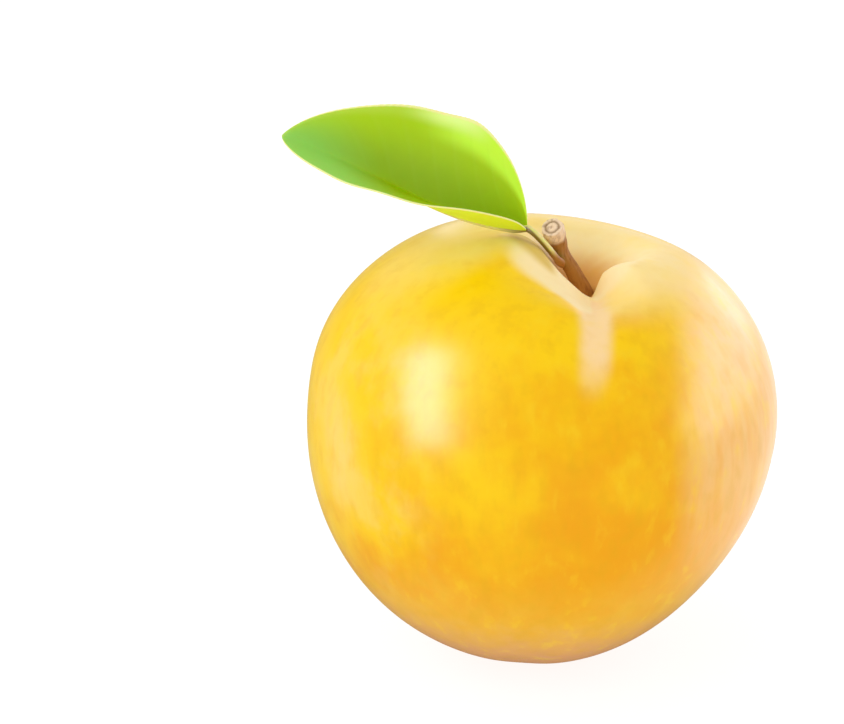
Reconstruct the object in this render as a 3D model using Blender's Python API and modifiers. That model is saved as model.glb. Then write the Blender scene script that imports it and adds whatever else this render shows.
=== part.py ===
"""A ripe yellow plum resting on a small flat spot, with its stem and one leaf.

Units are metres and +Z is up. The origin is the middle of the flat spot. The suture groove
faces -Y, and the leaf reaches towards -X.
"""

import math

import bmesh
import bpy
import numpy as np
from mathutils import Vector

# Fruit
FRUIT_RADIUS = 0.02584  # radius of the widest ring
SHOULDER_HEIGHT = 0.02124  # from the widest ring up to the top, before the cavity
BASE_DEPTH = 0.02856  # from the widest ring down to the apex
SHOULDER_POWER = 2.07  # 2 is an ellipse, and more is squarer
BASE_POWER = 2.115
FRUIT_LEAN = math.radians(8.0)  # the stem end leans towards +X
TOP_DRIFT = 0.00096  # how far the shoulders shift towards +X
TAPER_DEPTH = 0.00114  # how much slimmer the base is on its +X side
TAPER_LEVEL = -0.0194  # from the widest ring
TAPER_SPREAD = 0.0109
BACK_DROP = 0.00116  # how much lower the crown is behind the cavity
BACK_POLAR = math.radians(22)
BACK_SPREAD = math.radians(14)
FLAT_DEPTH = 0.0006  # height of the cap that the flat spot takes off

# Stem cavity
CAVITY_DEPTH = 0.0076
CAVITY_RADIUS = 0.0047
CAVITY_SHIFT = 0.0014  # of the cavity and its lip towards +X
CAVITY_SHIFT_REACH = 0.0120

# Suture groove, from the cavity down the front
SUTURE_AZIMUTH = math.radians(-83)
SUTURE_REACH = math.radians(75)  # how far round the axis the notch and its lip reach
NOTCH_DEPTH = 0.0042  # where it cuts the cavity's lip
NOTCH_LEFT_WIDTH = 0.0052
NOTCH_RIGHT_WIDTH = 0.00078
NOTCH_SPLAY = 0.593  # width gained per unit of distance from the lip
NOTCH_POWER = 3.6  # more gives steeper walls
NOTCH_START = 0.0024  # it fades out this near to the cavity's middle
NOTCH_POLAR = math.radians(15)  # angle from the fruit's axis where it is deepest
NOTCH_SPREAD = math.radians(14)
TROUGH_DEPTH = 0.00133  # of the shallow trough below the notch
TROUGH_WIDTH = 0.0022
TROUGH_POLAR = math.radians(22)
TROUGH_SPREAD = math.radians(14)
SWELLS = [  # of the lip beside the notch: height, distance from the suture, width
    (0.0003, 0.0000, 0.0057),
    (0.0019, -0.0066, 0.0076),
]
SWELL_POLAR = math.radians(14.8)
SWELL_SPREAD = math.radians(9.2)
TRACE_DEPTH = 0.00035  # on the side of the fruit
TRACE_WIDTH = 0.0028

# Stem, from the cavity's floor up to its swollen cut end
STEM_SINK = 0.0018  # length that stands in the flesh
STEM_POINTS = [  # offsets from the cavity's floor, with the stem's radius at each
    ((0.0000, 0.0000, 0.0000), 0.00125),
    ((-0.0004, 0.0000, 0.0012), 0.00105),
    ((-0.0013, 0.0000, 0.0030), 0.00092),
    ((-0.0024, -0.0001, 0.0048), 0.00094),
    ((-0.0028, -0.0004, 0.0061), 0.00108),
    ((-0.0031, -0.0007, 0.0070), 0.00125),
    ((-0.0033, -0.0011, 0.0077), 0.00136),
    ((-0.0035, -0.0015, 0.0083), 0.00126),
]
GAP = 0.0003  # clearance between neighbouring pieces

# Leaf
LEAF_BASE = (-0.0014, -0.0026, 0.0496)
LEAF_HANDLES = ((-0.0114, -0.0011, 0.04975), (-0.01703, 0.0047, 0.0538))
LEAF_TIP = (-0.02793, 0.0075, 0.0567)
LEAF_HALF_WIDTH = 0.0105
LEAF_BASE_POWER = 0.43  # less is a rounder base
LEAF_TIP_POWER = 0.71  # more is a sharper tip
LEAF_THICKNESS = 0.0007
FOLD_AT_BASE = math.radians(60)  # how far each half rises from flat
FOLD_AT_TIP = math.radians(42.5)
TWIST_AT_BASE = math.radians(19)  # how far the blade turns towards -Y
TWIST_AT_TIP = math.radians(42)
KEEL_ROUNDING = 0.0006
MARGIN_DROOP = 0.0012
WAVE_HEIGHT = 0.0002
WAVES = 3.0

# Leaf stalk and midrib
STALK_FOOT = (0.0018, -0.0018, 0.04592)
STALK_BOW = (-0.0002, -0.0012, 0.0002)  # how far its middle is drawn off the straight line
STALK_RADIUS = 0.0004
STALK_ENTRY = 0.0011  # straight length before the blade
CUSHION_LENGTH = 0.0002  # of the stem's swelling under the stalk's foot
CUSHION_RADIUS = 0.00045
RIB_RADIUS_AT_TIP = 0.0003
RIB_DROP = 0.8  # share of its radius that the midrib stands below the blade's middle
RIB_REACH = 0.86  # share of the blade's length


def cleared_scene():
    for obj in list(bpy.data.objects):
        bpy.data.objects.remove(obj, do_unlink=True)
    collection = bpy.data.collections.new("plum")
    bpy.context.scene.collection.children.link(collection)
    cutters = bpy.data.collections.new("plum_cutters")
    bpy.context.scene.collection.children.link(cutters)
    return collection, cutters


def finish(name, colour, roughness):
    """A Principled material of one plain colour."""
    material = bpy.data.materials.new(name)
    material.use_nodes = True
    shader = material.node_tree.nodes["Principled BSDF"]
    shader.inputs["Base Color"].default_value = (*colour, 1.0)
    shader.inputs["Roughness"].default_value = roughness
    material.diffuse_color = (*colour, 1.0)
    return material


def mesh_object(name, mesh, collection, material=None):
    obj = bpy.data.objects.new(name, mesh)
    collection.objects.link(obj)
    if material:
        mesh.materials.append(material)
    return obj


def fruit_form(polar, azimuth):
    """Points of the fruit about the middle of its widest ring, for arrays of angles.

    A superellipse is turned about the axis, the stem cavity is pressed into its top, the
    suture is pressed in along one meridian between two swellings of the lip, the crown is
    lowered behind the cavity, the base is slimmed on one side, and the whole leans towards
    +X.
    """
    side, height = np.sin(polar), np.cos(polar)
    upper = height > 0
    power = np.where(upper, SHOULDER_POWER, BASE_POWER)
    half_height = np.where(upper, SHOULDER_HEIGHT, BASE_DEPTH)
    radius = FRUIT_RADIUS * np.abs(side) ** (2 / power)
    level = half_height * np.sign(height) * np.abs(height) ** (2 / power)
    x, y = radius * np.cos(azimuth), radius * np.sin(azimuth)

    outward = np.stack([x / FRUIT_RADIUS**2, y / FRUIT_RADIUS**2, level / half_height**2], axis=-1)
    outward /= np.linalg.norm(outward, axis=-1, keepdims=True)
    turn = (azimuth - SUTURE_AZIMUTH + math.pi) % (2 * math.pi) - math.pi
    off_suture = radius * np.sin(turn)
    front = np.exp(-((turn / SUTURE_REACH) ** 4))
    at_lip = np.exp(-(((polar - NOTCH_POLAR) / NOTCH_SPREAD) ** 2))
    width = np.where(off_suture > 0, NOTCH_RIGHT_WIDTH, NOTCH_LEFT_WIDTH)
    width = width + NOTCH_SPLAY * np.clip(radius - CAVITY_RADIUS, 0, None)
    notch = NOTCH_DEPTH * at_lip * (1 - np.exp(-((radius / NOTCH_START) ** 2)))
    notch = notch * np.exp(-(np.abs(off_suture / width) ** NOTCH_POWER))
    trough = TROUGH_DEPTH * np.exp(-(((polar - TROUGH_POLAR) / TROUGH_SPREAD) ** 2))
    trough = trough * np.exp(-((off_suture / TROUGH_WIDTH) ** 2))
    swell = sum(h * np.exp(-(((off_suture - o) / w) ** 2)) for h, o, w in SWELLS)
    swell = swell * np.exp(-(((polar - SWELL_POLAR) / SWELL_SPREAD) ** 2))
    trace = TRACE_DEPTH * side * np.exp(-((off_suture / TRACE_WIDTH) ** 2))
    cavity = CAVITY_DEPTH * np.exp(-((radius / CAVITY_RADIUS) ** 2)) * upper
    back = BACK_DROP * np.exp(-(((polar - BACK_POLAR) / BACK_SPREAD) ** 2))
    back = back * np.clip(np.sin(azimuth), 0, 1)

    points = np.stack([x, y, level - cavity - back], axis=-1)
    points -= outward * ((notch + trough + trace - swell) * front)[..., None]
    points[..., 0] += TOP_DRIFT * np.clip(level / SHOULDER_HEIGHT, 0, 1) ** 2
    points[..., 0] += CAVITY_SHIFT * np.exp(-((radius / CAVITY_SHIFT_REACH) ** 2)) * upper
    taper = TAPER_DEPTH * np.exp(-(((level - TAPER_LEVEL) / TAPER_SPREAD) ** 2))
    points[..., 0] -= taper * np.clip(np.cos(azimuth), 0, 1)
    lean = np.array(
        [
            [math.cos(FRUIT_LEAN), 0, math.sin(FRUIT_LEAN)],
            [0, 1, 0],
            [-math.sin(FRUIT_LEAN), 0, math.cos(FRUIT_LEAN)],
        ]
    )
    return points @ lean.T


def fruit_seat():
    """Where the widest ring's middle stands, so that the flat spot is centred on the origin."""
    polar, azimuth = np.meshgrid(np.linspace(2.2, math.pi, 300), np.linspace(0, 2 * math.pi, 241))
    underside = fruit_form(polar, azimuth).reshape(-1, 3)
    lowest = underside[underside[:, 2].argmin()]
    return np.array([-lowest[0], -lowest[1], -lowest[2] - FLAT_DEPTH])


def cavity_floor():
    return Vector((fruit_form(np.array(0.0), np.array(0.0)) + fruit_seat()).tolist())


def make_fruit(collection, material):
    """A UV sphere whose rings crowd towards the cavity and whose meridians crowd towards the
    suture, with each vertex then moved onto the fruit's form and the underside set flat."""
    segments, rings = 72, 44
    crowd_rings, crowd_meridians = 0.55, 0.5
    bm = bmesh.new()
    bmesh.ops.create_uvsphere(bm, u_segments=segments, v_segments=rings, radius=1.0)
    directions = np.array([v.co for v in bm.verts])
    polar = np.arccos(np.clip(directions[:, 2], -1, 1))
    polar = polar - crowd_rings * np.sin(polar)
    azimuth = np.arctan2(directions[:, 1], directions[:, 0])
    azimuth = azimuth - crowd_meridians * np.sin(azimuth - SUTURE_AZIMUTH)
    points = fruit_form(polar, azimuth) + fruit_seat()
    points[:, 2] = np.maximum(points[:, 2], 0)
    for vertex, point in zip(bm.verts, points):
        vertex.co = point
    mesh = bpy.data.meshes.new("plum_fruit")
    bm.to_mesh(mesh)
    bm.free()
    mesh.shade_smooth()
    return mesh_object("plum_fruit", mesh, collection, material)


def tube(name, points, radii, collection, resolution=3):
    """A round tube along points as a closed mesh, thick as radii say."""
    curve = bpy.data.curves.new(name, "CURVE")
    curve.dimensions = "3D"
    curve.bevel_depth = 1.0
    curve.bevel_resolution = resolution
    curve.use_fill_caps = True
    spline = curve.splines.new("POLY")
    spline.points.add(len(points) - 1)
    for place, point, radius in zip(spline.points, points, radii):
        place.co = (*point, 1.0)
        place.radius = radius
    guide = bpy.data.objects.new(name + "_curve", curve)
    collection.objects.link(guide)
    graph = bpy.context.evaluated_depsgraph_get()
    mesh = bpy.data.meshes.new_from_object(guide.evaluated_get(graph))
    bm = bmesh.new()
    bm.from_mesh(mesh)
    bmesh.ops.remove_doubles(bm, verts=bm.verts, dist=1e-6)
    bm.to_mesh(mesh)
    bm.free()
    bpy.data.objects.remove(guide)
    mesh.shade_smooth()
    return mesh_object(name, mesh, collection)


def boolean(target, other, operation):
    modifier = target.modifiers.new(operation.lower(), "BOOLEAN")
    modifier.operation = operation
    modifier.solver = "EXACT"
    modifier.object = other
    other.hide_render = True
    other.display_type = "WIRE"


def stem_direction():
    """The way the stem leaves the cavity's floor."""
    first, second = (Vector(offset) for offset, _ in STEM_POINTS[:2])
    return (second - first).normalized()


def make_socket(cutters):
    """The hole that the stem's foot stands in."""
    floor, along = cavity_floor(), stem_direction()
    foot_radius = STEM_POINTS[0][1]
    reach = 0.0022  # above the floor, so that the hole is open
    ends = [floor - along * (STEM_SINK + GAP), floor + along * reach]
    return tube("stem_socket_cutter", ends, [foot_radius + GAP] * 2, cutters)


def make_stem(collection, cutters, material):
    """A tapering tube that swells to its cut end, with a short cushion where the leaf's stalk
    stands."""
    floor = cavity_floor()
    points = [floor + Vector(offset) for offset, _ in STEM_POINTS]
    radii = [radius for _, radius in STEM_POINTS]
    points.insert(0, floor - stem_direction() * STEM_SINK)
    radii.insert(0, radii[0] * 0.85)
    stem = tube("plum_stem", points, radii, collection, resolution=4)
    stem.data.materials.append(material)

    foot, along = stalk_foot()
    face = foot - along * GAP
    elbow = face - along * CUSHION_LENGTH
    root = min(points, key=lambda point: (point - elbow).length)
    cushion_radii = [CUSHION_RADIUS, CUSHION_RADIUS, STALK_RADIUS]
    cushion = tube("leaf_cushion", [root, elbow, face], cushion_radii, cutters)
    boolean(stem, cushion, "UNION")
    return stem


def stalk_points():
    """The stalk's line from its foot up to the blade's base, a quadratic Bezier."""
    foot, base = Vector(STALK_FOOT), Vector(LEAF_BASE)
    along = Vector(LEAF_HANDLES[0]) - base
    elbow = base - along.normalized() * STALK_ENTRY + Vector(STALK_BOW)
    steps = 7
    points = []
    for share in np.linspace(0, 1, steps):
        start = foot.lerp(elbow, share)
        points.append(start.lerp(elbow.lerp(base, share), share))
    return points


def stalk_foot():
    points = stalk_points()
    return points[0], (points[1] - points[0]).normalized()


def midrib(share):
    """Points and unit directions of the blade's midrib, a cubic Bezier, for an array of shares."""
    ends = [np.array(point) for point in (LEAF_BASE, *LEAF_HANDLES, LEAF_TIP)]
    t = np.asarray(share, float)[..., None]
    place = (1 - t) ** 3 * ends[0] + 3 * (1 - t) ** 2 * t * ends[1]
    place = place + 3 * (1 - t) * t**2 * ends[2] + t**3 * ends[3]
    along = (1 - t) ** 2 * (ends[1] - ends[0]) + 2 * (1 - t) * t * (ends[2] - ends[1])
    along = along + t**2 * (ends[3] - ends[2])
    return place, along / np.linalg.norm(along, axis=-1, keepdims=True)


def leaf_frame(share):
    """The midrib's points, with the directions across the blade and up out of it."""
    place, along = midrib(share)
    across = np.cross(along, (0.0, 0.0, 1.0))
    across /= np.linalg.norm(across, axis=-1, keepdims=True)
    up = np.cross(across, along)
    twist = (TWIST_AT_BASE + (TWIST_AT_TIP - TWIST_AT_BASE) * share**3)[..., None]
    turned = across * np.cos(twist) + up * np.sin(twist)
    return place, turned, np.cross(turned, along)


def leaf_half_width(share):
    rise, fall = LEAF_BASE_POWER, LEAF_TIP_POWER
    widest = rise / (rise + fall)
    peak = widest**rise * (1 - widest) ** fall
    return LEAF_HALF_WIDTH * share**rise * (1 - share) ** fall / peak


def leaf_surface(share, offset):
    """Points of the blade's middle surface. share runs 0 to 1 along the midrib, and offset
    from -1 at the near margin to 1 at the far one. A section is a rounded V whose margins
    droop and wave."""
    place, across, up = leaf_frame(share)
    fold = FOLD_AT_BASE + (FOLD_AT_TIP - FOLD_AT_BASE) * share**0.8
    reach = leaf_half_width(share) * offset
    level = reach * np.cos(fold)
    rise = np.tan(fold) * (np.sqrt(level**2 + KEEL_ROUNDING**2) - KEEL_ROUNDING)
    droop = MARGIN_DROOP * (reach / LEAF_HALF_WIDTH) ** 2
    level = level + np.sign(offset) * droop * np.sin(fold)
    rise = rise - droop * np.cos(fold)
    wave = WAVE_HEIGHT * offset**2 * np.sin(2 * math.pi * WAVES * share + 1.5 * np.sign(offset))
    rise = rise + wave * (reach / LEAF_HALF_WIDTH) ** 2
    return place + across * level[..., None] + up * rise[..., None]


def make_leaf(collection, cutters, material):
    """A grid shaped by the leaf's formula, split into triangles before it gets its thickness,
    and joined with the stalk and the midrib under it."""
    along, across = 30, 14
    bm = bmesh.new()
    bmesh.ops.create_grid(bm, x_segments=along, y_segments=across, size=0.5)
    flat = np.array([v.co for v in bm.verts])
    share = 0.5 - 0.5 * np.cos(math.pi * np.clip(flat[:, 0] + 0.5, 0, 1))
    points = leaf_surface(share, np.clip(flat[:, 1] * 2, -1, 1))
    for vertex, point in zip(bm.verts, points):
        vertex.co = point
    bmesh.ops.remove_doubles(bm, verts=bm.verts, dist=1e-6)
    bmesh.ops.triangulate(bm, faces=bm.faces)
    mesh = bpy.data.meshes.new("plum_leaf")
    bm.to_mesh(mesh)
    bm.free()
    mesh.shade_smooth()
    leaf = mesh_object("plum_leaf", mesh, collection, material)
    solid = leaf.modifiers.new("thickness", "SOLIDIFY")
    solid.thickness = LEAF_THICKNESS
    solid.offset = 0

    rib_steps = 15
    rib_shares = np.linspace(0, RIB_REACH, rib_steps)[1:]
    places, _, ups = leaf_frame(rib_shares)
    taper = np.linspace(STALK_RADIUS, RIB_RADIUS_AT_TIP, len(rib_shares))
    rib = [Vector(p - u * r * RIB_DROP) for p, u, r in zip(places, ups, taper)]
    line = stalk_points() + rib
    radii = [STALK_RADIUS] * (len(line) - len(rib)) + list(taper)
    stalk = tube("leaf_stalk", line, radii, cutters)
    boolean(leaf, stalk, "UNION")
    return leaf


def main():
    collection, cutters = cleared_scene()
    skin = finish("plum_skin", (0.90, 0.50, 0.03), 0.35)
    bark = finish("plum_stem_bark", (0.36, 0.22, 0.12), 0.75)
    green = finish("plum_leaf_green", (0.22, 0.42, 0.03), 0.45)
    fruit = make_fruit(collection, skin)
    boolean(fruit, make_socket(cutters), "DIFFERENCE")
    make_stem(collection, cutters, bark)
    make_leaf(collection, cutters, green)


main()
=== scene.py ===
import math

import bpy
import numpy as np
from mathutils import Matrix, Vector


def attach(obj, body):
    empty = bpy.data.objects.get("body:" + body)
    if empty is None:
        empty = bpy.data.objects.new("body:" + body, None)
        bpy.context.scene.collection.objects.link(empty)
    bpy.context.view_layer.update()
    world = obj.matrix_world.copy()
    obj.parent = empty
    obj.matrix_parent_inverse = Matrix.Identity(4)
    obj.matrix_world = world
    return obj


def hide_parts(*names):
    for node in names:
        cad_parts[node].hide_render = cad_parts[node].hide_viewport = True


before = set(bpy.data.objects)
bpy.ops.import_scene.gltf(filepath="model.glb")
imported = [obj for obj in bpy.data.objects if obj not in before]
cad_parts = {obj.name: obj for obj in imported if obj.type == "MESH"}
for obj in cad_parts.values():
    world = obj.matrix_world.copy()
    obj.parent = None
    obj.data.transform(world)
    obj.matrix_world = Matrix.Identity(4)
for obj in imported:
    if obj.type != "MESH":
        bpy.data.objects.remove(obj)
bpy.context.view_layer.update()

scene = bpy.context.scene
scene.view_settings.view_transform = "Standard"


# small tools for meshes and materials

def gridPiece(name, points, masks, startPole=None, endPole=None):
    # rows run along the piece and columns close round it; a pole fan closes each end
    rows, columns = points.shape[:2]
    lower = np.arange(rows * columns).reshape(rows, columns)
    right = np.roll(lower, -1, axis=1)
    quads = np.stack([lower[:-1], right[:-1], right[1:], lower[1:]], axis=-1).reshape(-1, 4)
    places = [points.reshape(-1, 3)]
    fans = []
    count = rows * columns
    for pole, ring, turned in ((startPole, 0, True), (endPole, rows - 1, False)):
        if pole is None:
            continue
        places.append(np.asarray(pole, float).reshape(1, 3))
        tip = np.full(columns, count)
        pair = (right[ring], lower[ring]) if turned else (lower[ring], right[ring])
        fans.append(np.stack([pair[0], pair[1], tip], axis=-1))
        count += 1
    mesh = bpy.data.meshes.new(name)
    faces = quads.tolist() + [face for fan in fans for face in fan.tolist()]
    mesh.from_pydata(np.concatenate(places).tolist(), [], faces)
    for label, values in masks.items():
        held = mesh.attributes.new(label, "FLOAT", "POINT")
        ends = [values[ring].mean() for pole, ring in ((startPole, 0), (endPole, -1)) if pole is not None]
        held.data.foreach_set("value", np.concatenate([values.ravel(), ends]).astype(np.float32))
    mesh.shade_smooth()
    mesh.update()
    piece = bpy.data.objects.new(name, mesh)
    scene.collection.objects.link(piece)
    print(name, len(mesh.vertices), "points,", len(quads) * 2 + sum(len(fan) for fan in fans), "triangles")
    return piece


def smooth(low, high, value):
    # 0 below low, 1 above high, an S curve between
    share = np.clip((value - low) / (high - low), 0, 1)
    return share * share * (3 - 2 * share)


def bell(value, middle, width):
    # 1 at the middle, falling as e to the minus square of the distance in widths
    return np.exp(-(((value - middle) / width) ** 2))


def paint(red, green, blue):
    # a colour as a picture shows it, 0 to 255, turned into the renderer's linear values
    shown = np.array([red, green, blue]) / 255
    linear = np.where(shown < 0.04045, shown / 12.92, ((shown + 0.055) / 1.055) ** 2.4)
    return (*linear.tolist(), 1.0)


def newMaterial(name, **sockets):
    # a Principled material; an underscore in a socket's name stands for its space
    material = bpy.data.materials.new(name)
    material.use_nodes = True
    tree = material.node_tree
    shader = tree.nodes["Principled BSDF"]
    for socket, value in sockets.items():
        shader.inputs[socket.replace("_", " ")].default_value = value
    return material, tree, shader


def addNode(tree, kind, sockets, **settings):
    # a shader node with its settings; a socket's value is a number or another node's output
    made = tree.nodes.new("ShaderNode" + kind)
    for setting, value in settings.items():
        setattr(made, setting, value)
    for socket, value in sockets.items():
        if isinstance(value, bpy.types.NodeSocket):
            tree.links.new(value, made.inputs[socket])
        else:
            made.inputs[socket].default_value = value
    return made


def mask(tree, label):
    # one of the masks that the mesh carries at its points
    return addNode(tree, "Attribute", {}, attribute_name=label).outputs["Fac"]


def placeOf(tree, scale=(1, 1, 1)):
    # the place on the piece, in metres, times the scale
    coords = addNode(tree, "TexCoord", {}).outputs["Object"]
    return addNode(tree, "Mapping", {"Vector": coords, "Scale": scale}).outputs["Vector"]


def noise(tree, place, scale, detail=3.0, roughness=0.5):
    # cloudy values about 0.5, with scale waves to the metre
    sockets = {"Vector": place, "Scale": scale, "Detail": detail, "Roughness": roughness}
    return addNode(tree, "TexNoise", sockets).outputs["Fac"]


def remap(tree, value, low, high, start=0.0, end=1.0):
    # start where the value is at low, end where it is at high, an S curve between
    sockets = {"Value": value, "From Min": low, "From Max": high, "To Min": start, "To Max": end}
    return addNode(tree, "MapRange", sockets, interpolation_type="SMOOTHSTEP").outputs["Result"]


def times(tree, first, second):
    # first times second
    return addNode(tree, "Math", {0: first, 1: second}, operation="MULTIPLY").outputs[0]


def plus(tree, first, second):
    # first plus second
    return addNode(tree, "Math", {0: first, 1: second}, operation="ADD").outputs[0]


def blendColour(tree, share, first, second):
    # the first colour at share 0, the second at share 1
    sockets = {0: share, 6: first, 7: second}
    return addNode(tree, "Mix", sockets, data_type="RGBA").outputs[2]


# the camera shows the aim point at its pixel, so that the picture is framed as the photo is
view = {
    "elevation": math.radians(22),
    "lens": 180.0,
    "sensor": 36.0,
    "pictureSize": (844, 724),
    "pixelsPerMetre": 9100,
    "aim": (0, 0, 0.0272),
    "aimPixel": (537.3, 411.7),
}


def placeCamera():
    # the camera stands where its lens shows the aim point at its pixel, at the wanted scale
    width, height = view["pictureSize"]
    distance = view["lens"] / view["sensor"] * width / view["pixelsPerMetre"]
    right = Vector((1, 0, 0))
    back = Vector((0, -math.cos(view["elevation"]), math.sin(view["elevation"])))
    up = back.cross(right)
    aside = (view["aimPixel"][0] - width / 2) / view["pixelsPerMetre"]
    below = (view["aimPixel"][1] - height / 2) / view["pixelsPerMetre"]
    data = bpy.data.cameras.new("camera")
    data.lens, data.sensor_width = view["lens"], view["sensor"]
    data.clip_start = 0.01
    camera = bpy.data.objects.new("camera", data)
    scene.collection.objects.link(camera)
    matrix = Matrix((right, up, back)).transposed().to_4x4()
    matrix.translation = Vector(view["aim"]) - right * aside + up * below + back * distance
    camera.matrix_world = matrix
    scene.camera = camera


# each box of light stands in a direction from the plum; "gloss" boxes only show as a sheen
softboxes = {
    "windowSheen": {"toward": (-0.813, -0.381, 0.441), "roll": 28, "far": 0.5, "size": (0.17, 0.50),
                    "radiance": 16.0, "lights": "gloss", "colour": (0.62, 0.66, 1.0)},
    "curtainSheen": {"toward": (-0.813, -0.381, 0.441), "roll": 28, "far": 0.52, "size": (0.24, 0.60),
                     "radiance": 7.0, "lights": "gloss", "colour": (0.62, 0.66, 1.0)},
    "wallSheen": {"toward": (0.95, 0.15, 0.27), "roll": -58, "far": 0.5, "size": (0.20, 0.46),
                  "radiance": 4.0, "lights": "gloss", "colour": (0.75, 0.72, 1.0)},
    "wideSheen": {"toward": (0.95, 0.22, 0.24), "roll": -58, "far": 0.52, "size": (0.42, 0.66),
                  "radiance": 2.4, "lights": "gloss", "colour": (0.80, 0.76, 1.0)},
    "cornerSheen": {"toward": (0.72, 0.69, 0.0), "roll": 0, "far": 0.54, "size": (0.40, 0.26),
                    "radiance": 1.8, "lights": "gloss", "colour": (0.85, 0.80, 1.0)},
    "backSheen": {"toward": (0.30, 0.90, 0.24), "roll": 0, "far": 0.6, "size": (0.60, 0.28),
                  "radiance": 2.2, "lights": "gloss", "colour": (0.9, 0.9, 1.0)},
    "backLeftSheen": {"toward": (-0.50, 0.80, 0.34), "roll": 0, "far": 0.6, "size": (0.40, 0.26),
                      "radiance": 0.5, "lights": "gloss", "colour": (0.9, 0.9, 1.0)},
    "windowFill": {"toward": (-0.60, -0.50, 0.62), "roll": 0, "far": 0.5, "size": (0.40, 0.40),
                   "radiance": 0.7, "lights": "matte", "colour": (1.0, 1.0, 1.0)},
    "shoulderFill": {"toward": (-0.75, 0.55, 0.35), "roll": 0, "far": 0.5, "size": (0.40, 0.40),
                     "radiance": 1.1, "lights": "matte", "colour": (1.0, 1.0, 1.0)},
}


def placeLights():
    # a box's power is its radiance times pi times its area
    middle = Vector((0, 0, 0.027))
    for name, box in softboxes.items():
        data = bpy.data.lights.new(name, "AREA")
        data.shape = "RECTANGLE"
        data.size, data.size_y = box["size"]
        data.energy = box["radiance"] * math.pi * data.size * data.size_y
        data.color = box["colour"]
        light = bpy.data.objects.new(name, data)
        light.visible_diffuse = box["lights"] == "matte"
        light.visible_glossy = box["lights"] == "gloss"
        toward = Vector(box["toward"]).normalized()
        light.location = middle + toward * box["far"]
        turned = Matrix.Rotation(math.radians(box["roll"]), 4, "Z")
        light.rotation_euler = (toward.to_track_quat("Z", "Y").to_matrix().to_4x4() @ turned).to_euler()
        scene.collection.objects.link(light)


room = {"shown": 1.0, "diffuse": 0.91, "gloss": 0.06, "floorSize": 6.0,
        "floorShown": 0.86, "floorGloss": 1.10, "floorWhite": 0.22,
        "nearPlum": (0.014, 0.040), "nearGloss": 0.05,
        "inFront": (-0.032, -0.020), "frontGloss": 0.15,
        "behindLeft": (0.02, 0.08), "behindSlope": -3.0, "behindGloss": 0.1,
        "contact": (0.008, 0.05), "contactShade": 0.82}


def strengthByRay(tree, shown, diffuse, gloss):
    # what the camera sees, what lights the plum and what it mirrors are set apart
    rays = addNode(tree, "LightPath", {}).outputs
    seen, lit = rays["Is Camera Ray"], rays["Is Diffuse Ray"]
    others = plus(tree, 1.0, times(tree, plus(tree, seen, lit), -1.0))
    sums = plus(tree, times(tree, seen, shown), times(tree, lit, diffuse))
    return plus(tree, sums, times(tree, others, gloss))


def placeRoom():
    # an even white surround
    world = bpy.data.worlds.new("room")
    world.use_nodes = True
    tree = world.node_tree
    background = tree.nodes["Background"]
    background.inputs["Color"].default_value = (1, 1, 1, 1)
    strength = strengthByRay(tree, room["shown"], room["diffuse"], room["gloss"])
    tree.links.new(strength, background.inputs["Strength"])
    scene.world = world


def makeFloor():
    # a white sheet that glows evenly to the camera; the glow that lights the plum is darker near the
    # plum, a painted shadow, by a smooth step of its distance
    half = room["floorSize"] / 2
    mesh = bpy.data.meshes.new("floor")
    corners = [(-half, -half, 0), (half, -half, 0), (half, half, 0), (-half, half, 0)]
    mesh.from_pydata(corners, [], [(0, 1, 2, 3)])
    white = room["floorWhite"]
    material, tree, shader = newMaterial(
        "floorWhite", Base_Color=(white, white, white, 1), Roughness=0.9,
        Specular_IOR_Level=0.0, Emission_Color=(1, 1, 1, 1))
    # the plum mirrors little of the floor under it, which is painted shade, in front of it and behind it on
    # the left
    coords = addNode(tree, "TexCoord", {}).outputs["Object"]
    far = addNode(tree, "VectorMath", {0: coords}, operation="LENGTH").outputs["Value"]
    x, y = (addNode(tree, "SeparateXYZ", {0: coords}).outputs[axis] for axis in "XY")
    clear = remap(tree, far, *room["nearPlum"], room["nearGloss"], room["floorGloss"])
    clear = times(tree, clear, remap(tree, y, *room["inFront"], room["frontGloss"], 1.0))
    behind = plus(tree, y, times(tree, x, room["behindSlope"]))
    clear = times(tree, clear, remap(tree, behind, *room["behindLeft"], 1.0, room["behindGloss"]))
    # painted shadow in the floor's glow near the plum
    dimmed = room["contactShade"] * room["floorShown"]
    lit = remap(tree, far, *room["contact"], dimmed, room["floorShown"])
    strength = strengthByRay(tree, room["floorShown"], lit, clear)
    tree.links.new(strength, shader.inputs["Emission Strength"])
    mesh.materials.append(material)
    floor = bpy.data.objects.new("floor", mesh)
    scene.collection.objects.link(floor)


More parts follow.
